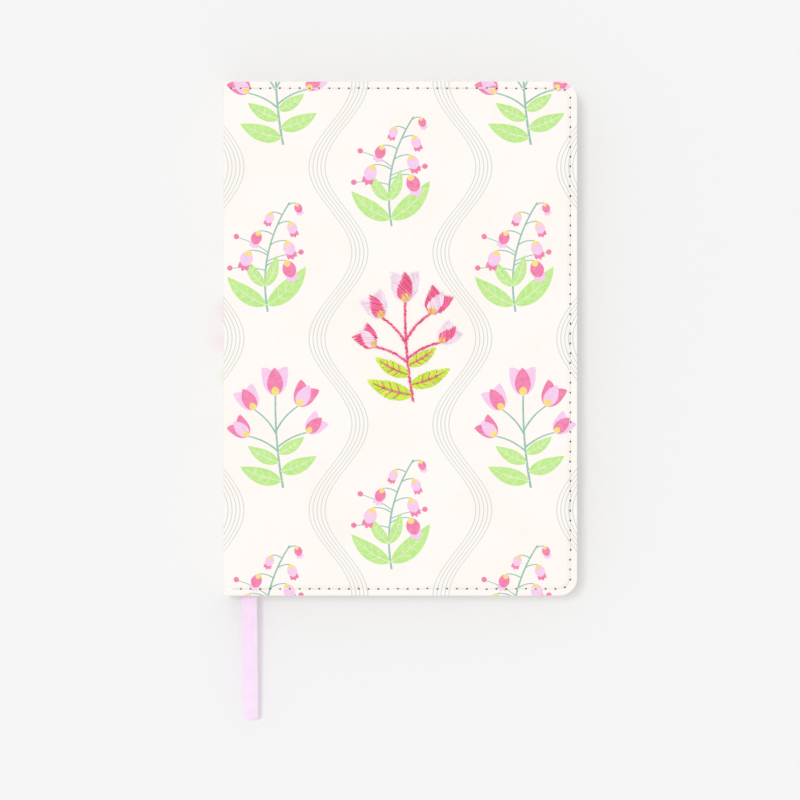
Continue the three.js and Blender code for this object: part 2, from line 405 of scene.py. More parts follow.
def ruled_paper():
    """Page paper with faint lines short of its edges, and painted shade in dark lines between the leaves
    where they are cut.
    """
    finish = Finish("page_paper", 0.85, Specular_IOR_Level=0.2)
    parts = finish.add("ShaderNodeSeparateXYZ", {"Vector": finish.place()})
    across = parts.outputs["X"]
    level = parts.outputs["Y"]
    along = finish.calculate("ABSOLUTE", level)
    face = paper_fibres(finish, (253, 251, 246), (249, 247, 241))
    # Painted shade between leaves: noise that changes through the block's thickness darkens thin lines on the
    # cut edges
    leaves = finish.noise(0.5 * MM, 6, stretch=(0.002, 0.002, 1))
    edge = finish.tone(leaves, (253, 251, 246), (234, 230, 221), end=0.56)
    plain = finish.mix(cut_edge(finish, across, along), face, edge)
    in_height = finish.calculate("LESS_THAN", along, HEIGHT / 2 - RULE_MARGIN)
    in_width = finish.calculate("LESS_THAN", across, PAGE_RIGHT - RULE_END)
    inside = finish.calculate("MULTIPLY", in_height, in_width)
    printed = finish.calculate("MULTIPLY", finish.lines(level, RULE_PITCH, RULE_WIDTH), inside)
    finish.feed("Base Color", finish.mix(printed, plain, linear(222, 222, 228)))
    return finish.material


def gauze():
    finish = Finish("gauze", 0.95)
    weave = finish.calculate("MAXIMUM", finish.stripes(0.7 * MM, "Y"), finish.stripes(0.7 * MM, "Z"))
    finish.feed("Base Color", finish.tone(weave, (240, 235, 225), (205, 199, 187), 0.4, 0.8))
    finish.feed("Normal", finish.bump(weave, 0.1 * MM))
    return finish.material


def band_cotton():
    """Pink and white ribs wound round the head bands."""
    finish = Finish("band_cotton", 0.7, Sheen_Weight=0.3)
    ribs = finish.stripes(2 * BEAD_RIB, "Z")
    finish.feed("Base Color", finish.tone(ribs, (253, 244, 249), (244, 160, 205), 0.45, 0.55))
    finish.feed("Normal", finish.bump(finish.noise(0.15 * MM, 3, stretch=(1, 1, 0.3)), 0.02 * MM))
    return finish.material


def ribbon_satin():
    finish = Finish("ribbon_satin", 0.45, Sheen_Weight=0.15)
    threads = finish.noise(0.12 * MM, 2, stretch=(1, 0.15, 1))
    patches = finish.noise(9 * MM, 3)
    # Painted sheen: the base colour lightens along fine thread streaks and in soft patches
    sheen = finish.blend(threads, patches, 0.4)
    finish.feed("Base Color", finish.tone(sheen, (254, 234, 254), (250, 223, 250), 0.35, 0.65))
    finish.feed("Normal", finish.bump(threads, 0.01 * MM))
    return finish.material


def thread(name, light, dark, roughness):
    """Twisted thread, each length in a tone of its own, with painted highlight in noise patches that stand
    for the raised twist.
    """
    finish = Finish(name, roughness, Sheen_Weight=0.2)
    painted_twist_highlight = finish.noise(0.25 * MM, 3, distortion=0.6)
    own = finish.add("ShaderNodeAttribute", attribute_name="tone").outputs["Fac"]
    # Base colour: each thread's own tone blended with the painted highlight noise
    finish.feed("Base Color", finish.tone(finish.blend(own, painted_twist_highlight, 0.6), light, dark, 0.2, 0.75))
    finish.feed("Normal", finish.bump(finish.noise(0.09 * MM, 2), 0.02 * MM))
    return finish.material


def floor_paint():
    finish = Finish("floor_paint", 0.9, Specular_IOR_Level=0.0)
    finish.feed("Base Color", finish.tone(finish.noise(0.4, 2), (246, 246, 246), (245, 245, 245), 0.3, 0.7))
    return finish.material


def build_materials():
    """The material of each slot."""
    materials = {
        "cover_leatherette": leatherette(),
        "cover_lining": grained("lining_cloth", 0.6, (252, 247, 240), (247, 240, 231), 15 * MM, LINING_GRAIN),
        "grey_board": grey_board(),
        "endpaper": endpaper(),
        "page_paper": ruled_paper(),
        "gauze": gauze(),
        "band_cotton": band_cotton(),
        "ribbon_satin": ribbon_satin(),
    }
    for name, look in THREADS.items():
        materials[name] = thread(name, *look)
    for layer, tones in INKS.items():
        materials[f"print_{layer}"] = grained(f"print_{layer}", 0.5, *tones, 2.2 * MM, SKIN_GRAIN)
    return materials


MATERIALS = build_materials()


# Meshes

def make(name, shape, slot, body, node=None, smooth=True):
    """A piece from its vertices and faces, riding on its body, in place of the node that is named."""
    vertices, faces = shape
    mesh = bpy.data.meshes.new(name)
    mesh.from_pydata([tuple(vertex) for vertex in vertices], [], faces)
    mesh.polygons.foreach_set("use_smooth", [smooth] * len(mesh.polygons))
    mesh.materials.append(MATERIALS[slot])
    solid = bmesh.new()
    solid.from_mesh(mesh)
    bmesh.ops.recalc_face_normals(solid, faces=solid.faces[:])
    solid.to_mesh(mesh)
    solid.free()
    thing = bpy.data.objects.new(name, mesh)
    bpy.context.scene.collection.objects.link(thing)
    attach(thing, body)
    if node:
        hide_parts(node)
    return thing


def mark(thing, name, kind, field, values):
    """Gives each vertex a value that its material reads."""
    attribute = thing.data.attributes.new(name, kind, "POINT")
    attribute.data.foreach_set(field, values.astype(np.float32).ravel())


def points(x, y, z):
    """Places from coordinates whose shapes fit together."""
    return np.stack(np.broadcast_arrays(x, y, z), axis=-1)


def unit(vectors, shortest=1e-9):
    """Vectors at length 1, but for those under the shortest length."""
    return vectors / np.maximum(np.linalg.norm(vectors, axis=-1, keepdims=True), shortest)


def joined(parts):
    """Several shapes as one."""
    vertices = []
    faces = []
    count = 0
    for part_vertices, part_faces in parts:
        vertices.append(part_vertices)
        faces.extend([tuple(corner + count for corner in face) for face in part_faces])
        count += len(part_vertices)
    return np.concatenate(vertices), faces


def closed_grid(upper, lower):
    """The solid between two grids of points with the same rows and columns."""
    rows, columns = upper.shape[:2]
    numbers = np.arange(rows * columns).reshape(rows, columns)
    top = np.stack([numbers[:-1, :-1], numbers[1:, :-1], numbers[1:, 1:], numbers[:-1, 1:]], axis=-1)
    bottom = top[..., ::-1] + rows * columns
    rim = np.concatenate([numbers[:, 0], numbers[-1, 1:], numbers[-2::-1, -1], numbers[0, -2:0:-1]])
    following = np.roll(rim, -1)
    wall = np.stack([following, rim, rim + rows * columns, following + rows * columns], axis=-1)
    faces = np.concatenate([top.reshape(-1, 4), bottom.reshape(-1, 4), wall])
    vertices = np.concatenate([upper.reshape(-1, 3), lower.reshape(-1, 3)])
    return vertices, faces.tolist()


def tube_faces(rings, sides, first=0):
    """Faces between rings of vertices, and one on each end."""
    faces = []
    for ring in range(rings - 1):
        near = first + ring * sides
        for side in range(sides):
            after = (side + 1) % sides
            faces.append((near + side, near + after, near + sides + after, near + sides + side))
    faces.append(tuple(first + side for side in reversed(range(sides))))
    faces.append(tuple(first + (rings - 1) * sides + side for side in range(sides)))
    return faces


def round_corners(across, along, width, height, radius):
    """Grid points of a rectangle bent so that its corners at the far side get a radius."""
    past_x = (across - (width - radius)) / radius
    past_y = (np.abs(along) - (height / 2 - radius)) / radius
    in_corner = (past_x > 0) & (past_y > 0)
    reach = np.where(in_corner, np.hypot(past_x, past_y), 1)
    shrink = np.where(in_corner, np.maximum(past_x, past_y) / reach, 1)
    x = np.where(in_corner, width - radius + past_x * radius * shrink, across)
    y = np.where(in_corner, np.sign(along) * (height / 2 - radius + past_y * radius * shrink), along)
    return x, y


def graded(length, step, near, far):
    """Grid lines from 0 to length: given ones at both ends and even ones between them."""
    far = length - np.array(far)[::-1]
    count = max(int((far[0] - near[-1]) / step), 1)
    middle = np.linspace(near[-1], far[0], count + 1)[1:-1]
    return np.concatenate([near, middle, far])


def smoothstep(value, low, high):
    share = np.clip((value - low) / (high - low), 0, 1)
    return share * share * (3 - 2 * share)


def rounded_edge(distance, radius):
    """How far a rounded edge lies below its face at a distance from the edge."""
    share = 1 - np.clip(distance / radius, 0, 1)
    return radius * (1 - np.sqrt(np.maximum(1 - share * share, 0)))


def curve(start, bend, end, share):
    """Points of a line that leaves its start toward the bend and comes to its end from there."""
    share = np.asarray(share, float)[..., None]
    return (1 - share) ** 2 * start + 2 * share * (1 - share) * bend + share ** 2 * end


# Panels of the cover

class Panel:
    """One sewn panel in its own frame: x across it from a fold, y along it, z outward from its lining."""

    def __init__(self, side, width, corner, layers, pocket, fold_rounds, place, unroll):
        self.side = side
        self.width = width
        self.corner = corner
        self.lining, self.base, self.top = layers
        self.pocket_left, self.pocket_right, self.pocket_top = pocket
        self.near_round, self.far_round = fold_rounds
        self.ink_margins = (BEVEL_SHARE * self.near_round, BEVEL_SHARE * (self.far_round or EDGE_ROUND))
        self.place = place
        self.unroll = unroll
        self.holes = self.hole_row() if corner else self.end_holes()

    def inset(self, x, y):
        """Distance from the sewn edges, measured inward."""
        inset = HEIGHT / 2 - np.abs(y)
        if self.corner == 0:
            return inset
        past_x = x - (self.width - self.corner)
        past_y = np.abs(y) - (HEIGHT / 2 - self.corner)
        straight = np.minimum(inset, self.width - x)
        return np.where((past_x > 0) & (past_y > 0), self.corner - np.hypot(past_x, past_y), straight)

    def end_holes(self):
        """A short row of needle holes across each end of the spine."""
        across = self.width / 2 + STITCH_PITCH * np.array([-1, 0, 1])
        row_y = HEIGHT / 2 - STITCH_INSET
        return [np.stack([across, np.full(len(across), level)], axis=-1) for level in (row_y, -row_y)]

    def hole_row(self):
        """One row of needle holes round the three sewn edges of a cover."""
        radius = self.corner - STITCH_INSET
        straight = self.width - self.corner - STITCH_START
        quarter = math.pi / 2 * radius
        side = HEIGHT - 2 * self.corner
        total = 2 * straight + 2 * quarter + side
        center_x = self.width - self.corner
        center_y = HEIGHT / 2 - self.corner
        row = []
        for distance in np.linspace(0, total, round(total / STITCH_PITCH) + 1):
            mirrored = distance > total / 2
            run = total - distance if mirrored else distance
            if run <= straight:
                x = STITCH_START + run
                y = HEIGHT / 2 - STITCH_INSET
            elif run <= straight + quarter:
                turn = (run - straight) / radius
                x = center_x + radius * math.sin(turn)
                y = center_y + radius * math.cos(turn)
            else:
                x = self.width - STITCH_INSET
                y = center_y - (run - straight - quarter)
            row.append((x, -y if mirrored else y))
        return [np.array(row)]

    def dimples(self, x, y):
        """Depth of the groove along the stitches and of the dimple round each hole."""
        from_row = self.inset(x, y) - STITCH_INSET
        depth = GROOVE * np.exp(-((from_row / GROOVE_SPREAD) ** 2))
        close = np.abs(from_row) < 2 * HOLE_WIDTH
        near_x = x[close]
        near_y = y[close]
        pulled = np.zeros(near_x.shape)
        for hole_x, hole_y in np.concatenate(self.holes):
            away = ((near_x - hole_x) ** 2 + (near_y - hole_y) ** 2) / DIMPLE_SPREAD ** 2
            pulled += DIMPLE * np.exp(-away)
        depth[close] += pulled
        return depth

    def outside(self, x, y):
        """Height of the skin's outer face."""
        inset = self.inset(x, y)
        sewn_drop = PINCH * (1 - smoothstep(inset, SHOULDER_FOOT, SHOULDER_TOP))
        wave = WAVE_DEPTH * (1 - np.sin(x / WAVE_ACROSS + 1) * np.sin(y / WAVE_ALONG))
        height = self.top - sewn_drop - wave * smoothstep(inset, SHOULDER_TOP, 3 * SHOULDER_TOP)
        height = height - self.dimples(x, y) - rounded_edge(inset, EDGE_ROUND)
        height = height - rounded_edge(x, self.near_round)
        if self.far_round > 0:
            height = height - rounded_edge(self.width - x, self.far_round)
        return np.maximum(height, self.base + THINNEST_SKIN)

    def inside(self, x, y):
        """Height of the lining's inner face."""
        return 0.5 * self.dimples(x, y)

    def pocket(self, x, y):
        """Height of the skin's inner face, which steps up over the board."""
        in_pocket = (self.inset(x, y) > POCKET_INSET) & (x > self.pocket_left) & (x < self.pocket_right)
        return np.where(in_pocket, self.pocket_top, self.base)

    def grid(self, step):
        """Grid points of the panel, closest where it bends."""
        step_in = self.pocket_left + np.array([-LAYER_GAP, LAYER_GAP])
        fold_lines = np.sort(np.concatenate([FOLD_LINES, step_in]))
        x_lines = graded(self.width, step, fold_lines, EDGE_LINES if self.corner else fold_lines)
        y_lines = graded(HEIGHT, step, EDGE_LINES, EDGE_LINES) - HEIGHT / 2
        x, y = np.meshgrid(x_lines, y_lines, indexing="ij")
        return round_corners(x, y, self.width, HEIGHT, self.corner) if self.corner else (x, y)

    def put(self, x, y, z):
        """Points of the panel's frame in the notebook's."""
        return points(*self.place(x, y, z))


class FoldFace:
    """A cover skin's face along its fold: x inward from the outer face, y along it, z outward."""

    corner = 0
    put = Panel.put

    def __init__(self, side, width, place):
        self.side = side
        self.width = width
        self.place = place
        self.ink_margins = (BEVEL_SHARE * FOLD_ROUND, LAYER_GAP)

    def outside(self, x, y):
        return -rounded_edge(x, FOLD_ROUND)


def sewn_skin(panel, body, node):
    """A skin from its outer face to its pocket, with its place in the unrolled print."""
    x, y = panel.grid(SKIN_STEP)
    upper = panel.outside(x, y)
    lower = panel.pocket(x, y)
    shape = closed_grid(panel.put(x, y, upper), panel.put(x, y, lower))
    thing = make(f"{panel.side}_leatherette", shape, "cover_leatherette", body, node)
    printed = [points(*panel.unroll(x, y, down), 0.0) for down in (0, upper - lower)]
    mark(thing, "print_place", "FLOAT_VECTOR", "vector", np.concatenate(printed))


def sewn_lining(panel, body, node):
    x, y = panel.grid(LINING_STEP)
    rounding = rounded_edge(panel.inset(x, y), LINING_ROUND)
    inner = panel.inside(x, y) + rounding
    outer = panel.lining - rounding
    shape = closed_grid(panel.put(x, y, outer), panel.put(x, y, inner))
    make(f"{panel.side}_lining_cloth", shape, "cover_lining", body, node)


# Threads

def tubes(starts, ends, radius, arch):
    """Threads from starts to ends, each arched upward and sunk at its ends."""
    share = np.linspace(0, 1, THREAD_RINGS)
    from_middle = np.abs(2 * share - 1)
    lift = arch * (1 - from_middle ** 4)
    girth = radius * np.sqrt(1.02 - from_middle ** 6)
    along = ends - starts
    upward = np.array([0.0, 0.0, 1.0])
    sideways = np.cross(upward, unit(along))
    turn = 2 * math.pi * np.arange(THREAD_SIDES) / THREAD_SIDES
    centers = starts[:, None, :] + along[:, None, :] * share[None, :, None]
    centers = centers + lift[None, :, None] * upward
    ring = np.cos(turn)[None, :, None] * sideways[:, None, :] + np.sin(turn)[None, :, None] * upward
    vertices = centers[:, :, None, :] + girth[None, :, None, None] * ring[:, None, :, :]
    faces = []
    for number in range(len(starts)):
        faces.extend(tube_faces(THREAD_RINGS, THREAD_SIDES, number * THREAD_RINGS * THREAD_SIDES))
    return vertices.reshape(-1, 3), faces


def put_threads(name, slot, parts, panel, body):
    """Threads as one piece, each with a tone of its own."""
    vertices, faces = joined(parts)
    thing = make(name, (panel.put(*vertices.T), faces), slot, body)
    per_thread = THREAD_RINGS * THREAD_SIDES
    tones = np.repeat(random.random(len(vertices) // per_thread), per_thread)
    mark(thing, "tone", "FLOAT", "value", tones)


def edge_stitches(panel, body):
    """The edge's thread, outside and inside, and a short dark tube sunk in each needle hole."""
    runs = []
    hole_marks = []
    for row in panel.holes:
        for face, arch in ((panel.outside, STITCH_ARCH), (panel.inside, -STITCH_ARCH)):
            holes = np.column_stack([row, face(*row.T)])
            seen = holes[:-1]
            heading = unit(holes[1:] - seen)
            runs.append(tubes(seen, holes[1:], STITCH_RADIUS, arch))
            if not panel.corner:
                seen = holes
                heading = np.vstack([heading, heading[-1:]])
            half = heading * HOLE_WIDTH / 2 * random.uniform(*HOLE_MARK_LENGTHS, (len(seen), 1))
            seen = seen + random.normal(0, HOLE_MARK_STRAY, seen.shape) * [1, 1, 0]
            hole_marks.append(tubes(seen - half, seen + half, HOLE_MARK_RADIUS, HOLE_MARK_ARCH * arch))
    put_threads(f"{panel.side}_stitches", "edge_thread", runs, panel, body)
    put_threads(f"{panel.side}_locks", "stitch_thread", hole_marks, panel, body)


# Sprays: stems, leaves and flowers, for the print and for the needlework

STEM_LEVEL, LEAF_LEVEL, VEIN_LEVEL, BACK_LEVEL, FRONT_LEVEL, HEART_LEVEL = range(6)


class Blade:
    """A leaf or petal: a bowed middle line with a width that swells and closes along it."""

    def __init__(self, start, end, width, level, bow=0.0, belly=1.0, blunt=1.0):
        self.level = level
        self.start = start
        self.end = end
        along = end - start
        self.bend = (start + end) / 2 + bow * np.array([-along[1], along[0]])
        self.width = width
        self.belly = belly
        self.blunt = blunt

    def middle(self, share):
        return curve(self.start, self.bend, self.end, share)

    def aside(self, share):
        """Unit steps to the left of the middle line."""
        share = np.asarray(share, float)[..., None]
        heading = unit((1 - share) * (self.bend - self.start) + share * (self.end - self.bend))
        return np.stack([-heading[..., 1], heading[..., 0]], axis=-1)

    def half_width(self, share):
        swell = np.sin(math.pi * np.clip(share, 0, 1) ** self.belly)
        return self.width / 2 * np.maximum(swell, 0) ** self.blunt

    def edge(self, share, side):
        return self.middle(share) + side * self.half_width(share)[..., None] * self.aside(share)

    def length(self):
        return np.linalg.norm(np.diff(self.middle(np.linspace(0, 1, 12)), axis=0), axis=1).sum()

    def outline(self):
        share = np.linspace(0, 1, 14)
        return np.concatenate([self.edge(share, 1), self.edge(share[-2:0:-1], -1)])


class Stem(Blade):
    """A stem: a bowed line that thins a little toward its end."""

    def half_width(self, share):
        return np.full(np.shape(share), self.width / 2) * (1.15 - 0.3 * np.asarray(share))

    def outline(self):
        share = np.linspace(0, 1, 12)
        return np.concatenate([self.edge(share, 1), self.edge(share[::-1], -1)])


def toward(angle):
    """A unit step at an angle from straight up, clockwise."""
    return np.array([math.sin(angle), math.cos(angle)])


def add_leaf(spray, foot, angle, length, width, bow):
    """A leaf with a vein along its middle and three pairs of side veins."""
    tip = foot + length * toward(angle)
    leaf = Blade(foot, tip, width, LEAF_LEVEL, bow, belly=0.8, blunt=0.85)
    spray["leaf"].append(leaf)
    spray["vein"].append(Stem(foot, leaf.middle(0.86), 0.35 * MM, VEIN_LEVEL, bow))
    for share in (0.25, 0.42, 0.59):
        for side in (-1, 1):
            start = leaf.middle(share)
            end = start + 0.8 * (leaf.edge(share + 0.14, side) - start)
            spray["vein"].append(Stem(start, end, 0.25 * MM, VEIN_LEVEL))


def add_heart(spray, foot, angle, size, width):
    tip = foot + 0.3 * size * toward(angle)
    spray["yellow"].append(Blade(foot, tip, width * size, HEART_LEVEL, blunt=0.6))


def add_tulip(spray, foot, angle, size, front, back):
    """A tulip's head: two outer petals, one in front of them and a yellow heart."""
    for side in (-1, 1):
        tip = foot + 1.02 * size * toward(angle + 0.42 * side)
        spray[back].append(Blade(foot, tip, 0.56 * size, BACK_LEVEL, bow=0.16 * side, belly=0.8, blunt=0.7))
    tip = foot + 0.92 * size * toward(angle)
    spray[front].append(Blade(foot, tip, 0.52 * size, FRONT_LEVEL, belly=0.8, blunt=0.75))
    add_heart(spray, foot, angle, size, 0.26)


def add_bell(spray, foot, angle, size, body, lip):
    """A hanging bell: a full body with three points that turn outward at its mouth."""
    mouth = foot + 0.72 * size * toward(angle)
    for turn in (-0.5, 0, 0.5):
        start = mouth - 0.3 * size * toward(angle)
        tip = mouth + 0.36 * size * toward(angle + 1.5 * turn)
        spray[lip].append(Blade(start, tip, 0.32 * size, BACK_LEVEL, bow=0.2 * turn, blunt=0.8))
    end = mouth + 0.1 * size * toward(angle)
    spray[body].append(Blade(foot, end, 0.62 * size, FRONT_LEVEL, belly=1.1, blunt=0.55))
    add_heart(spray, foot, angle, size, 0.3)


def tulip_spray():
    """A fan of five tulips over leaves that stand alternately on the stem."""
    spray = {layer: [] for layer in INKS}
    main = Stem(np.array([3, -29]) * MM, np.array([-0.5, 13]) * MM, 0.9 * MM, STEM_LEVEL, bow=0.05)
    spray["stem"].append(main)
    for number in range(4):
        side = -1 if number % 2 == 0 else 1
        length = (20 - 2 * number) * MM
        angle = side * (1.25 - 0.08 * number)
        add_leaf(spray, main.middle(0.08 + 0.1 * number), angle, length, 0.38 * length, -0.1 * side)
    for tier, (share, angle) in enumerate(((0.42, 1.1), (0.6, 0.72))):
        for side in (-1, 1):
            foot = main.middle(share + 0.02 * side)
            tip = foot + 15 * MM * toward(side * angle)
            spray["stem"].append(Stem(foot, tip, 0.7 * MM, STEM_LEVEL, bow=0.14 * side))
            tones = ("rose", "blush") if (side > 0) == (tier == 0) else ("blush", "rose")
            add_tulip(spray, tip, side * 0.72 * angle, (10.5 + 1.5 * tier) * MM, *tones)
    add_tulip(spray, main.end, -0.03, 14 * MM, "rose", "blush")
    return spray


def bell_spray():
    """An arching stem of hanging bells over broad leaves, with a few berries."""
    spray = {layer: [] for layer in INKS}
    main = Stem(np.array([-4, -27]) * MM, np.array([6, 23]) * MM, 0.8 * MM, STEM_LEVEL, bow=0.2)
    spray["stem"].append(main)
    for side, length, angle in ((-1, 22, 0.95), (1, 25, 0.8), (-1, 15, 0.6), (1, 15, 0.35)):
        foot = main.middle(0.06 if length > 20 else 0.22)
        add_leaf(spray, foot, side * angle, length * MM, 0.34 * length * MM, -0.14 * side)
    for number in range(7):
        side = 1 if number % 2 == 0 else -1
        foot = main.middle(0.4 + 0.095 * number)
        tip = foot + (9.5 - 0.9 * number) * MM * toward(1.3 * side)
        spray["stem"].append(Stem(foot, tip, 0.5 * MM, STEM_LEVEL, bow=0.2 * side))
        tones = ("rose", "blush") if number % 3 == 0 else ("blush", "rose")
        add_bell(spray, tip, math.pi - 0.35 * side, (10 - 0.7 * number) * MM, *tones)
    for number in range(3):
        side = -1 if number % 2 == 0 else 1
        foot = main.middle(0.36 + 0.08 * number)
        heading = toward(side * (1.5 - 0.2 * number))
        tip = foot + 15 * MM * heading
        spray["stem"].append(Stem(foot, tip, 0.4 * MM, STEM_LEVEL, bow=0.1 * side))
        spray["rose"].append(Blade(tip, tip + 2.6 * MM * heading, 2.4 * MM, BACK_LEVEL, blunt=0.5))
    return spray


# The print: thin layers of ink on the skin, one piece for each colour of each panel

def spray_places(columns):
    """Each spray's middle in the unrolled print, and which of the two sprays stands there."""
    for column in columns:
        shift = CELL_HEIGHT / 2 if column % 2 else 0
        for row in (-2, -1, 0, 1):
            center = np.array([column * CELL_WIDTH, row * CELL_HEIGHT + shift])
            yield center, (column + row) % 2


def cut(bm, point, direction, clear=False):
    """Cuts along a plane, and clears what lies past it if asked to."""
    geometry = bm.verts[:] + bm.edges[:] + bm.faces[:]
    bmesh.ops.bisect_plane(bm, geom=geometry, dist=SAME_PLACE, plane_co=point, plane_no=direction,
                           clear_outer=clear)


def trim_to_panel(bm, panel):
    """Cuts the ink off at the panel's outline, and into strips where the skin bends."""
    margin = BEVEL_SHARE * EDGE_ROUND
    half = HEIGHT / 2
    near_margin, far_margin = panel.ink_margins
    cut(bm, (near_margin, 0, 0), (-1, 0, 0), clear=True)
    cut(bm, (panel.width - far_margin, 0, 0), (1, 0, 0), clear=True)
    for side in (-1, 1):
        cut(bm, (0, side * (half - margin), 0), (0, side, 0), clear=True)
        for step in range(1, CORNER_CUTS if panel.corner else 0):
            turn = math.pi / 2 * step / CORNER_CUTS
            outward = Vector((math.sin(turn), side * math.cos(turn), 0))
            center = Vector((panel.width - panel.corner, side * (half - panel.corner), 0))
            cut(bm, center + outward * (panel.corner - margin), outward, clear=True)
    for inset in SEWN_STRIPS:
        for side in (-1, 1):
            cut(bm, (0, side * (half - inset), 0), (0, 1, 0))
        if panel.corner:
            cut(bm, (panel.width - inset, 0, 0), (1, 0, 0))
    for inset in FOLD_STRIPS:
        cut(bm, (inset, 0, 0), (1, 0, 0))
        if not panel.corner:
            cut(bm, (panel.width - inset, 0, 0), (1, 0, 0))


def in_order(bm):
    """A mesh's vertices and faces, sorted by place, because cuts leave them in a chance order."""
    bm.verts.index_update()
    vertices = np.array([vertex.co[:] for vertex in bm.verts])
    order = np.lexsort(vertices.T)
    ranks = np.argsort(order).tolist()
    faces = sorted(tuple(ranks[vertex.index] for vertex in face.verts) for face in bm.faces)
    return vertices[order], faces


def ink_layer(panel, layer, outlines, body):
    """One colour's shapes, each lifted by its level and a little by its turn, so that no two coincide."""
    bm = bmesh.new()
    for number, (level, outline) in enumerate(outlines):
        lift = INK_LIFT + INK_STEP * (level + number % INK_TURNS / INK_TURNS)
        bm.faces.new([bm.verts.new((x, y, lift)) for x, y in outline])
    trim_to_panel(bm, panel)
    if not bm.faces:
        bm.free()
        return
    bmesh.ops.recalc_face_normals(bm, faces=bm.faces[:])
    flat = np.array([vertex.co[:2] for vertex in bm.verts])
    for vertex, height in zip(bm.verts, panel.outside(flat[:, 0], flat[:, 1])):
        vertex.co.z += height
    made = bmesh.ops.extrude_face_region(bm, geom=bm.faces[:])
    for part in made["geom"]:
        if isinstance(part, bmesh.types.BMVert):
            part.co.z -= INK_LIFT + INK_STEP * (HEART_LEVEL + 2)
    bmesh.ops.recalc_face_normals(bm, faces=bm.faces[:])
    vertices, faces = in_order(bm)
    bm.free()
    slot = f"print_{layer}"
    make(f"{panel.side}_{slot}", (panel.put(*vertices.T), faces), slot, body, smooth=False)


def reaches(outline, panel):
    """Whether an outline may have a part on the panel."""
    low = outline.min(axis=0)
    high = outline.max(axis=0)
    half = HEIGHT / 2
    return low[0] < panel.width and high[0] > 0 and low[1] < half and high[1] > -half


def print_panel(panel, columns, from_print, body):
    """All ink of one panel. from_print turns places of the unrolled print into the panel's."""
    sprays = (tulip_spray(), bell_spray())
    outlines = {layer: [] for layer in INKS}
    for center, kind in spray_places(columns):
        # The needlework stands in place of the spray in the middle
        if panel.side == "front" and not center.any():
            continue
        for layer in INKS:
            for shape in sprays[kind][layer]:
                placed = from_print(shape.outline() * PRINT_SCALE + center)
                if reaches(placed, panel):
                    outlines[layer].append((shape.level, placed))
    for layer in INKS:
        ink_layer(panel, layer, outlines[layer], body)


# The needlework in the middle of the front

def stitched(first, last, level, radius=THREAD_RADIUS):
    """Threads between two rows of points, their ends as uneven as needlework has them."""
    along = last - first
    length = np.linalg.norm(along, axis=1, keepdims=True)
    ragged = unit(along, LAYER_GAP) * np.minimum(THREAD_RAGGED, 0.2 * length)
    rows = []
    for row in (first, last):
        row = row + ragged * random.uniform(-1, 1, length.shape)
        row = row + random.normal(0, THREAD_UNEVEN, row.shape)
        height = level - STITCH_LEVEL + random.uniform(0, THREAD_UNEVEN, len(row))
        rows.append(np.column_stack([row, height]))
    return tubes(*rows, radius, THREAD_ARCH)


def stitch_shares(blade):
    """Where a blade's stitches lie, as shares of its length."""
    count = max(int(blade.length() / THREAD_PITCH), 3)
    return (np.arange(count) + 0.5) / count


def satin(blade, level):
    """Stitches side by side across a petal."""
    share = stitch_shares(blade)
    lean = SATIN_SLANT * blade.width / blade.length()
    first = blade.edge(np.clip(share - lean, 0, 1), -1)
    last = blade.edge(np.clip(share + lean, 0, 1), 1)
    return stitched(first, last, level)


def leaf_stitches(blade, level):
    """Stitches that slant from the middle of a leaf to both of its edges."""
    share = stitch_shares(blade)
    inner = blade.middle(np.clip(share - 0.12, 0.01, 1))
    return joined([stitched(inner, blade.edge(share, side), level) for side in (-1, 1)])


def rope(stem, level, width, radius):
    """Short slanting stitches that overlap along a line."""
    share = np.linspace(0, 1, max(int(stem.length() / ROPE_PITCH), 2))
    reach = ROPE_STITCH / stem.length()
    first = stem.middle(share) - width / 2 * stem.aside(share)
    last = stem.middle(np.clip(share + reach, 0, 1)) + width / 2 * stem.aside(share)
    return stitched(first, last, level, radius)


def needlework(panel, body):
    """The tulip spray in thread, in the middle of the cover."""
    spray = tulip_spray()
    parts = {tone: [] for tone in ("rose", "blush", "lime", "yellow")}
    for stem in spray["stem"]:
        parts["rose"].append(rope(stem, *STEM_ROPE))
    for leaf in spray["leaf"]:
        parts["lime"].append(leaf_stitches(leaf, STITCH_LEVEL))
    for vein in spray["vein"]:
        parts["rose"].append(rope(vein, *VEIN_ROPE))
    for tone in ("blush", "rose", "yellow"):
        for petal in spray[tone]:
            level = STITCH_LEVEL + PETAL_STEP * (petal.level - BACK_LEVEL)
            parts[tone].append(satin(petal, level))
    middle = np.array([panel.width / 2 + NEEDLEWORK_X, NEEDLEWORK_Y, panel.top])
    for tone, meshes in parts.items():
        placed = [(vertices + middle, faces) for vertices, faces in meshes]
        put_threads(f"embroidery_{tone}", f"thread_{tone}", placed, panel, body)


# The pages

def page_grid(x_lines, width, height, step):
    """Grid points of a leaf with round corners at its fore edge."""
    y_lines = graded(height, step, PAGE_LINES, PAGE_LINES) - height / 2
    x, y = np.meshgrid(x_lines, y_lines, indexing="ij")
    return round_corners(x, y, width, height, PAGE_CORNER)


def leaf_sheet(node, body, wave):
    """A single leaf, a little wavy in its thickness."""
    low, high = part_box(node)
    width, height, thickness = high - low
    x, y = page_grid(graded(width, LEAF_STEP, [0], PAGE_LINES), width, height, LEAF_STEP)
    bend = wave * np.sin(x / (21 * MM)) * np.sin(y / (33 * MM) + 1)
    half = 0.5 * LEAF_SHARE * thickness
    middle = (low.z + high.z) / 2 + bend
    shape = closed_grid(points(low.x + x, y, middle + half), points(low.x + x, y, middle - half))
    make(f"{node}_sheet", shape, "endpaper", body, node)


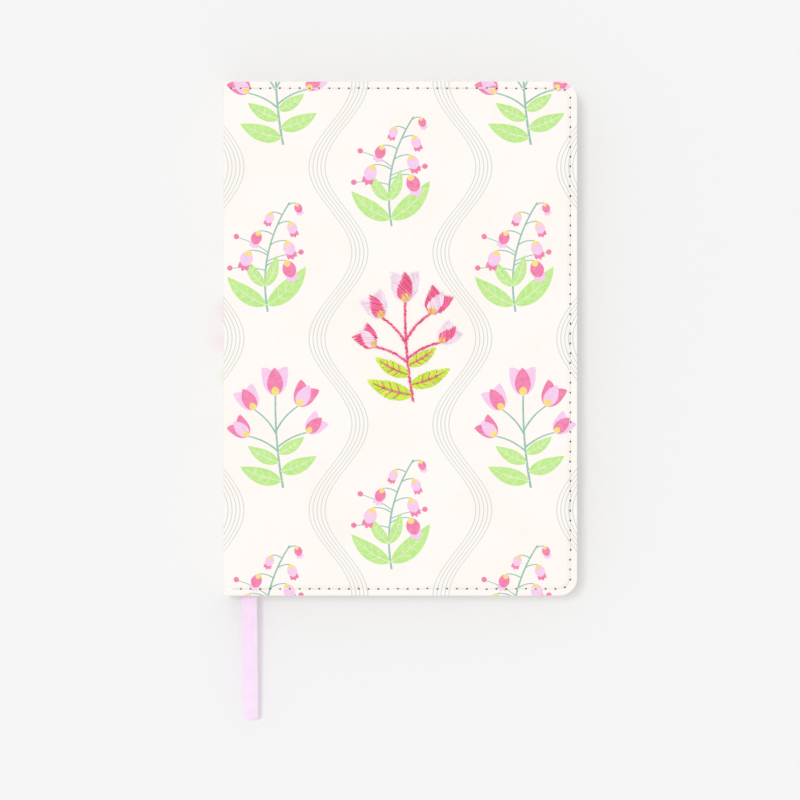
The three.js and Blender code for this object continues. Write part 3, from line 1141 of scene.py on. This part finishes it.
def folded_sheet(low, high, order, trim):
    """One sheet of a section, folded round the sheets inside it."""
    pitch = (high.z - low.z) / LEAVES_PER_SECTION
    radius = (LEAVES_PER_SECTION // 2 - order - 0.5) * pitch
    fold_x = low.x + (high.z - low.z) / 2
    width = high.x - fold_x - trim
    leaf_lines = graded(width, SHEET_STEP, [0], PAGE_LINES)
    turn = np.linspace(0, math.pi, 9)[1:-1]
    level = np.zeros(len(leaf_lines))
    normal_x = np.concatenate([level, -np.sin(turn), level])
    normal_z = np.concatenate([level - 1, -np.cos(turn), level + 1])
    x_lines = np.concatenate([leaf_lines[::-1], -radius * np.sin(turn), leaf_lines])
    x, y = page_grid(x_lines, width, high.y - low.y, SHEET_STEP)
    half = 0.5 * LEAF_SHARE * pitch
    faces = []
    for away in (-half, half):
        place_x = fold_x + x + away * normal_x[:, None]
        place_z = (low.z + high.z) / 2 + (radius + away) * normal_z[:, None]
        faces.append(points(place_x, y, place_z))
    return closed_grid(*faces)


def section(node, body):
    """Folded sheets. Beside the ribbon, the two sections that hold it swell until they meet."""
    low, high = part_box(node)
    trims = random.uniform(0, LEAF_TRIM, LEAVES_PER_SECTION // 2)
    vertices, faces = joined([folded_sheet(low, high, order, trim) for order, trim in enumerate(trims)])
    level = (vertices[:, 2] - low.z) / (high.z - low.z)
    beside = smoothstep(vertices[:, 0], SPINE_X + RIBBON_EXIT + RIBBON_WIDTH, SPINE_X + 5 * RIBBON_EXIT)
    swell = (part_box("section_06")[0].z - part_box("section_07")[1].z - LAYER_GAP) / 2
    if node == "section_06":
        vertices[:, 2] -= swell * beside * (1 - level)
    if node == "section_07":
        vertices[:, 2] += swell * beside * level
    make(f"{node}_leaves", (vertices, faces), "page_paper", body, node)


def gauze_strip():
    low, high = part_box("spine_mull")
    y, z = np.meshgrid(np.linspace(low.y, high.y, 60), np.linspace(low.z, high.z, 20), indexing="ij")
    ripple = GAUZE_RIPPLE * np.sin(y / (4 * MM)) * np.sin(z / (2 * MM))
    left = points(low.x + GAUZE_INSET + ripple, y, z)
    right = points(high.x - GAUZE_INSET + ripple, y, z)
    make("spine_gauze", closed_grid(right, left), "gauze", "page_block", "spine_mull")


def head_band(node, outward):
    """A wound bead along the folds' ends, and the tongue that holds it to their backs."""
    low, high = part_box(node)
    radius = BEAD_WIDTH / 2
    outer_y = high.y if outward > 0 else low.y
    inner_y = low.y if outward > 0 else high.y
    bead_y = outer_y - outward * radius
    level = np.linspace(low.z, high.z, BEAD_RINGS)[:, None]
    turn = np.linspace(0, 2 * math.pi, BEAD_SIDES + 1)[:-1]
    rib = 1 - BEAD_RIB_SHARE * np.abs(np.cos(math.pi * (level - low.z) / BEAD_RIB)) ** 3
    cap = np.sqrt(np.clip(np.minimum(level - low.z, high.z - level) / BEAD_CAP + 0.2, 0, 1))
    girth = radius * rib * cap
    wound = points(low.x + radius + girth * np.cos(turn), bead_y + girth * np.sin(turn), level)
    bead = (wound.reshape(-1, 3), tube_faces(BEAD_RINGS, BEAD_SIDES))
    tongue_y = np.linspace(*sorted((bead_y, inner_y)), 12)
    y, z = np.meshgrid(tongue_y, np.linspace(low.z, high.z, 24), indexing="ij")
    tongue = closed_grid(points(low.x + TONGUE, y, z), points(low.x + TONGUE_GLUE, y, z))
    make(f"{node}_cotton", joined([bead, tongue]), "band_cotton", "page_block", node)


# The ribbon marker

def ribbon_line():
    """Places along the ribbon's middle, as distance past its glued end and height, fine where it shows."""
    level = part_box("ribbon_marker")[1].z - RIBBON_THICKNESS / 2
    leaving = np.array([RIBBON_INSIDE, level])
    bend = np.array([RIBBON_INSIDE + RIBBON_OUTSIDE / 2, level])
    tip = np.array([RIBBON_INSIDE + RIBBON_OUTSIDE, RIBBON_TIP_HEIGHT])
    droop = curve(leaving, bend, tip, np.linspace(0, 1, 900))
    hidden = np.linspace(0, RIB_START, 40)
    shown = np.linspace(RIB_START, RIBBON_INSIDE, 40)[1:-1]
    flat = np.concatenate([hidden, shown])
    return np.vstack([np.column_stack([flat, np.full(len(flat), level)]), droop])


def ribbon():
    """A closed strip with fine ribs across it and firm edges."""
    line = ribbon_line()
    distance = np.concatenate([[0], np.cumsum(np.hypot(*np.diff(line, axis=0).T))])
    heading = unit(np.gradient(line, distance, axis=0))
    outward = np.column_stack([-heading[:, 1], heading[:, 0]])
    half_lines = np.array([0.15, 0.45, 0.7, 0.88, 0.93, 0.97, 1])
    across = np.concatenate([-half_lines[::-1], half_lines])
    from_middle = np.abs(across)
    shown = smoothstep(distance, RIB_START, RIBBON_INSIDE)
    ribs = RIB_DEPTH * np.cos(2 * math.pi * distance / RIB_PITCH) * shown
    edge = 1 - smoothstep(from_middle, RIBS_END, 1.0) * 0.5
    half = (RIB_CORE + ribs[:, None] * (from_middle < RIBS_END)) * edge
    half = half + SELVEDGE_LIFT * (from_middle > SELVEDGE_START)
    near_tip = smoothstep(distance, distance[-1] - TIP_BULGE_REACH, distance[-1])
    drawn_back = TIP_BULGE * near_tip[:, None] * across ** 4
    x = across * RIBBON_WIDTH / 2
    faces = []
    for side in (1, -1):
        forward = line[:, :1] + side * half * outward[:, :1] - drawn_back
        height = line[:, 1:] + side * half * outward[:, 1:]
        y = RIBBON_INSIDE + PAGE_TAIL_GAP - forward
        turned_x = x * math.cos(RIBBON_LEAN) - y * math.sin(RIBBON_LEAN)
        turned_y = x * math.sin(RIBBON_LEAN) + y * math.cos(RIBBON_LEAN)
        faces.append(points(SPINE_X + RIBBON_EXIT + turned_x, turned_y - HEIGHT / 2, height))
    make("ribbon_satin", closed_grid(*faces), "ribbon_satin", "page_block", "ribbon_marker")


# Putting the pieces together

def build_panels():
    """The three sewn panels, and each printed face with its body, its columns and its way from the print."""
    half = WIDTH / 2
    back_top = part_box("back_cover_lining")[1].z
    pocket_top = board_high.z - lining_low.z + LAYER_GAP
    cover_pocket = (board_low.x - SPINE_X - POCKET_GAP, WIDTH, pocket_top)
    cover_layers = (LINING, SKIN_BASE, SKIN_TOP)
    spine_lining = spine_lining_high.x - spine_lining_low.x
    spine_skin = spine_high.x - spine_low.x
    spine_layers = (spine_lining, SPINE_WALL - spine_skin, SPINE_WALL)
    spine_left = spine_board_low.z - spine_low.z - POCKET_GAP
    spine_top = SPINE_WALL - (spine_board_low.x - SPINE_X) + LAYER_GAP
    spine_pocket = (spine_left, SPINE_WIDTH - spine_left, spine_top)
    front = Panel("front", WIDTH, CORNER, cover_layers, cover_pocket, (FOLD_ROUND, 0),
                  lambda x, y, z: (SPINE_X + x, y, lining_low.z + z),
                  lambda x, y, down: (x - half + np.sign(x - half) * down, y))
    back = Panel("back", WIDTH, CORNER, cover_layers, cover_pocket, (FOLD_ROUND, 0),
                 lambda x, y, z: (SPINE_X + x, -y, back_top - z),
                 lambda x, y, down: (-half - THICKNESS - x + np.sign(half - x) * down, -y))
    spine = Panel("spine", SPINE_WIDTH, 0, spine_layers, spine_pocket, (SPINE_ROUND, SPINE_ROUND),
                  lambda x, y, z: (SPINE_X + SPINE_WALL - z, y, spine_low.z + x),
                  lambda x, y, down: (x - half - THICKNESS + spine_low.z, y))
    wall = SKIN_TOP - SKIN_BASE
    front_fold = FoldFace("front_fold", wall, lambda x, y, z: (SPINE_X - z, y, THICKNESS - x))
    back_fold = FoldFace("back_fold", wall, lambda x, y, z: (SPINE_X - z, y, x))
    prints = [
        (front, "front_cover", (-1, 0, 1), lambda places: places + [half, 0]),
        (back, "back_cover", (-5, -4, -3, -2), lambda places: np.array([-half - THICKNESS, 0]) - places),
        (spine, "page_block", (-2, -1), lambda places: places + [half + THICKNESS - spine_low.z, 0]),
        (front_fold, "front_cover", (-2, -1), lambda places: places * [-1, 1] - [half, 0]),
        (back_fold, "back_cover", (-2, -1), lambda places: places + [half + THICKNESS, 0]),
    ]
    return (front, back, spine), prints


def build_covers():
    panels, prints = build_panels()
    bodies = ("front_cover", "back_cover", "page_block")
    prefixes = ("front_cover", "back_cover", "spine")
    for panel, body, prefix in zip(panels, bodies, prefixes):
        sewn_skin(panel, body, f"{prefix}_skin")
        sewn_lining(panel, body, f"{prefix}_lining")
        board = frame["nodes"][f"{prefix}_board"]
        board.data.materials.clear()
        board.data.materials.append(MATERIALS["grey_board"])
        edge_stitches(panel, body)
    for panel, body, columns, from_print in prints:
        print_panel(panel, columns, from_print, body)
    needlework(panels[0], "front_cover")


def build_pages():
    for side, body in (("front", "front_leaves"), ("back", "page_block")):
        leaf_sheet(f"{side}_flyleaf", body, FLYLEAF_WAVE)
        leaf_sheet(f"{side}_pastedown", f"{side}_cover", 0.0)
    for body, members in frame["record"]["behaviour"]["bodies"].items():
        for node in members:
            if node.startswith("section_"):
                section(node, body)
    gauze_strip()
    head_band("head_band", 1)
    head_band("tail_band", -1)
    ribbon()


def lay_floor():
    """A wide pale floor."""
    bpy.ops.mesh.primitive_circle_add(vertices=64, radius=FLOOR_RADIUS, fill_type="NGON")
    floor = bpy.context.object
    floor.name = "floor"
    floor.location.z = -FLOOR_GAP
    floor.data.materials.append(floor_paint())


def light_room():
    """Soft light from all round. The camera sees its own pale grey past the floor."""
    world = bpy.data.worlds.new("studio")
    world.use_nodes = True
    bpy.context.scene.world = world
    tree = world.node_tree
    light = tree.nodes["Background"]
    light.inputs["Color"].default_value = (1, 1, 1, 1)
    light.inputs["Strength"].default_value = WORLD_LIGHT
    seen = tree.nodes.new("ShaderNodeBackground")
    seen.inputs["Color"].default_value = linear(245, 245, 245)
    choice = tree.nodes.new("ShaderNodeMixShader")
    tree.links.new(tree.nodes.new("ShaderNodeLightPath").outputs["Is Camera Ray"], choice.inputs["Fac"])
    tree.links.new(light.outputs[0], choice.inputs[1])
    tree.links.new(seen.outputs[0], choice.inputs[2])
    tree.links.new(choice.outputs[0], tree.nodes["World Output"].inputs["Surface"])


def hang_lamp():
    """A sun with soft edges, from the upper left."""
    sun = bpy.data.lights.new("key", "SUN")
    sun.energy = KEY_LIGHT * math.pi / math.cos(KEY_TILT)
    sun.angle = KEY_SPREAD
    lamp = bpy.data.objects.new("key", sun)
    level = math.sin(KEY_TILT)
    aim = Vector((level * math.cos(KEY_TURN), -level * math.sin(KEY_TURN), -math.cos(KEY_TILT)))
    lamp.rotation_mode = "QUATERNION"
    lamp.rotation_quaternion = aim.to_track_quat("-Z", "Y")
    bpy.context.scene.collection.objects.link(lamp)


def place_camera():
    """The camera, straight above the cover."""
    lens = bpy.data.cameras.new("camera")
    lens.lens = lens.sensor_width * CAMERA_DISTANCE / FRAME_WIDTH
    camera = bpy.data.objects.new("camera", lens)
    camera.location = (CAMERA_X, CAMERA_Y, THICKNESS + CAMERA_DISTANCE)
    bpy.context.scene.collection.objects.link(camera)
    bpy.context.scene.camera = camera
    bpy.context.scene.view_settings.view_transform = "Standard"


build_covers()
build_pages()
lay_floor()
light_room()
hang_lamp()
place_camera()
